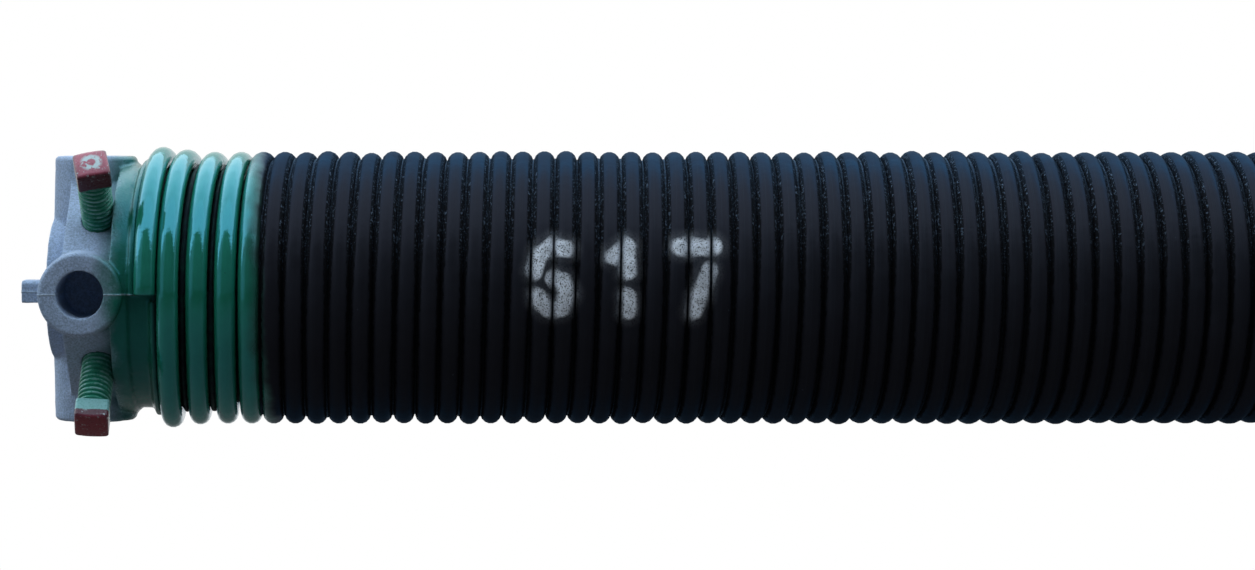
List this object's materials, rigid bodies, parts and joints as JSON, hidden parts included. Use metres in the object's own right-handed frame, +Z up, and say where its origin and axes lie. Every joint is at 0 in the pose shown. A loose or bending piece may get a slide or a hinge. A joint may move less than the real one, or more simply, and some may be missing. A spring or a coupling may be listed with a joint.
{
  "type": "garage door torsion spring",
  "caption": "Left-wound torsion spring of close round wire, held on a cast winding cone with bar sockets and square-head set screws and on a cast flanged stationary cone.",
  "frame": {"origin": "on the spring's axis, in the shaft bore of the winding cone, where the axes of the four winding sockets cross", "axes": "+X along the spring from the winding cone to the stationary cone, +Z up through the top socket, -Y to the front socket"},
  "size_m": [0.5634, 0.0822, 0.116],
  "materials": {
    "spring_wire": "oil-tempered black, with green paint at one end",
    "cast_alloy": "rough as cast",
    "painted_screw": "red paint over green, worn"
  },
  "bodies": {
    "root": {"spring_coil": "spring_wire", "winding_cone": "cast_alloy", "upper_set_screw": "painted_screw", "lower_set_screw": "painted_screw", "stationary_cone": "cast_alloy"}
  },
  "joints": []
}
